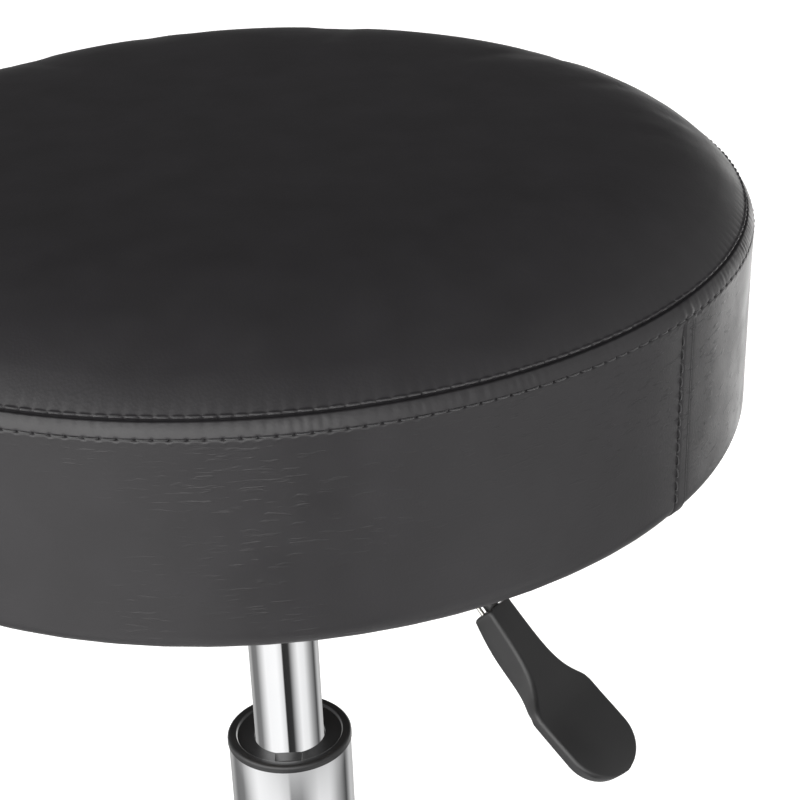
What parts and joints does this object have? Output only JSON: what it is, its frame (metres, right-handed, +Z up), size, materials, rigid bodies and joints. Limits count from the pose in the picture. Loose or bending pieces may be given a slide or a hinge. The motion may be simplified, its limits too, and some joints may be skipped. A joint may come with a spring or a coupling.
{
  "type": "adjustable swivel stool",
  "caption": "Round rolling stool with a stitched black seat on a lever-released gas lift, over a chromed star base with twin-wheel casters.",
  "frame": {"origin": "on the floor, on the column's axis", "axes": "+Z up along the column; +X to the right and -Y towards the side that the release lever is nearest to"},
  "size_m": [0.5487, 0.5485, 0.5767],
  "materials": {
    "leather": "satin",
    "foam": "matte",
    "plywood": "matte",
    "dust_cloth": "matte",
    "black_steel": "satin",
    "steel": "satin",
    "black_plastic": "satin",
    "rubber": "matte",
    "chrome": "polished",
    "caster_tread": "matte"
  },
  "bodies": {
    "base": {"column_tube": "chrome", "column_collar": "black_plastic", "guide_sleeve": "black_plastic", "bearing_race_lower": "steel", "bearing_cage": "steel", "base_hub": "chrome", "base_arm_1": "chrome", "base_arm_2": "chrome", "base_arm_3": "chrome", "base_arm_4": "chrome", "base_arm_5": "chrome", "caster_1_stem": "steel", "caster_2_stem": "steel", "caster_3_stem": "steel", "caster_4_stem": "steel", "caster_5_stem": "steel"},
    "spindle": {"piston_rod": "chrome", "bearing_race_upper": "steel", "bump_stop": "rubber", "rod_clip": "steel"},
    "seat": {"seat_top_panel": "leather", "seat_side_band": "leather", "seat_foam": "foam", "seat_board": "plywood", "dust_cover": "dust_cloth", "mounting_plate": "black_steel", "mount_bolt_1": "steel", "mount_bolt_2": "steel", "mount_bolt_3": "steel", "mount_bolt_4": "steel", "lift_bracket": "black_steel", "lever_pivot_pin": "steel", "taper_socket": "black_steel", "gas_cylinder": "chrome", "cylinder_gland": "black_plastic"},
    "lever": {"lever_arm": "black_steel", "lever_rod": "black_steel", "lever_wire": "steel", "lever_grip": "black_plastic"},
    "button": {"release_button": "steel"},
    "caster_1": {"caster_1_body": "black_plastic", "caster_1_axle": "steel"},
    "caster_1_left": {"caster_1_wheel_a": "caster_tread"},
    "caster_1_right": {"caster_1_wheel_b": "caster_tread"},
    "caster_2": {"caster_2_body": "black_plastic", "caster_2_axle": "steel"},
    "caster_2_left": {"caster_2_wheel_a": "caster_tread"},
    "caster_2_right": {"caster_2_wheel_b": "caster_tread"},
    "caster_3": {"caster_3_body": "black_plastic", "caster_3_axle": "steel"},
    "caster_3_left": {"caster_3_wheel_a": "caster_tread"},
    "caster_3_right": {"caster_3_wheel_b": "caster_tread"},
    "caster_4": {"caster_4_body": "black_plastic", "caster_4_axle": "steel"},
    "caster_4_left": {"caster_4_wheel_a": "caster_tread"},
    "caster_4_right": {"caster_4_wheel_b": "caster_tread"},
    "caster_5": {"caster_5_body": "black_plastic", "caster_5_axle": "steel"},
    "caster_5_left": {"caster_5_wheel_a": "caster_tread"},
    "caster_5_right": {"caster_5_wheel_b": "caster_tread"}
  },
  "joints": [
    {"name": "seat_swivel", "type": "hinge", "parent": "base", "child": "spindle", "pos_m": [0, 0, 0.08], "axis": [0, 0, 1], "continuous": true},
    {"name": "seat_lift", "type": "slide", "parent": "spindle", "child": "seat", "axis": [0, 0, 1], "range_m": [-0.07, 0.045]},
    {"name": "lever_rock", "type": "hinge", "parent": "seat", "child": "lever", "pos_m": [0.02487, -0.02319, 0.454], "axis": [-0.682, -0.7314, 0], "range_deg": [0, 6]},
    {"name": "button_press", "type": "slide", "parent": "seat", "child": "button", "axis": [0, 0, -1], "range_m": [0, 0.0037]},
    {"name": "caster_1_swivel", "type": "hinge", "parent": "base", "child": "caster_1", "pos_m": [-0.01828, 0.26136, 0.05], "axis": [0, 0, 1], "continuous": true},
    {"name": "caster_1_left_roll", "type": "hinge", "parent": "caster_1", "child": "caster_1_left", "pos_m": [-0.0131, 0.24204, 0.025], "axis": [0.9659, 0.2588, 0], "continuous": true},
    {"name": "caster_1_right_roll", "type": "hinge", "parent": "caster_1", "child": "caster_1_right", "pos_m": [-0.0131, 0.24204, 0.025], "axis": [0.9659, 0.2588, 0], "continuous": true},
    {"name": "caster_2_swivel", "type": "hinge", "parent": "base", "child": "caster_2", "pos_m": [-0.25422, 0.06338, 0.05], "axis": [0, 0, 1], "continuous": true},
    {"name": "caster_2_left_roll", "type": "hinge", "parent": "caster_2", "child": "caster_2_left", "pos_m": [-0.24904, 0.04407, 0.025], "axis": [0.9659, 0.2588, 0], "continuous": true},
    {"name": "caster_2_right_roll", "type": "hinge", "parent": "caster_2", "child": "caster_2_right", "pos_m": [-0.24904, 0.04407, 0.025], "axis": [0.9659, 0.2588, 0], "continuous": true},
    {"name": "caster_3_swivel", "type": "hinge", "parent": "base", "child": "caster_3", "pos_m": [-0.13884, -0.22219, 0.05], "axis": [0, 0, 1], "continuous": true},
    {"name": "caster_3_left_roll", "type": "hinge", "parent": "caster_3", "child": "caster_3_left", "pos_m": [-0.13366, -0.24151, 0.025], "axis": [0.9659, 0.2588, 0], "continuous": true},
    {"name": "caster_3_right_roll", "type": "hinge", "parent": "caster_3", "child": "caster_3_right", "pos_m": [-0.13366, -0.24151, 0.025], "axis": [0.9659, 0.2588, 0], "continuous": true},
    {"name": "caster_4_swivel", "type": "hinge", "parent": "base", "child": "caster_4", "pos_m": [0.16841, -0.2007, 0.05], "axis": [0, 0, 1], "continuous": true},
    {"name": "caster_4_left_roll", "type": "hinge", "parent": "caster_4", "child": "caster_4_left", "pos_m": [0.17359, -0.22002, 0.025], "axis": [0.9659, 0.2588, 0], "continuous": true},
    {"name": "caster_4_right_roll", "type": "hinge", "parent": "caster_4", "child": "caster_4_right", "pos_m": [0.17359, -0.22002, 0.025], "axis": [0.9659, 0.2588, 0], "continuous": true},
    {"name": "caster_5_swivel", "type": "hinge", "parent": "base", "child": "caster_5", "pos_m": [0.24292, 0.09815, 0.05], "axis": [0, 0, 1], "continuous": true},
    {"name": "caster_5_left_roll", "type": "hinge", "parent": "caster_5", "child": "caster_5_left", "pos_m": [0.2481, 0.07883, 0.025], "axis": [0.9659, 0.2588, 0], "continuous": true},
    {"name": "caster_5_right_roll", "type": "hinge", "parent": "caster_5", "child": "caster_5_right", "pos_m": [0.2481, 0.07883, 0.025], "axis": [0.9659, 0.2588, 0], "continuous": true}
  ],
  "couplings": [
    {"joint": "button_press", "follows": "lever_rock", "m_per_rad": 0.0353}
  ]
}
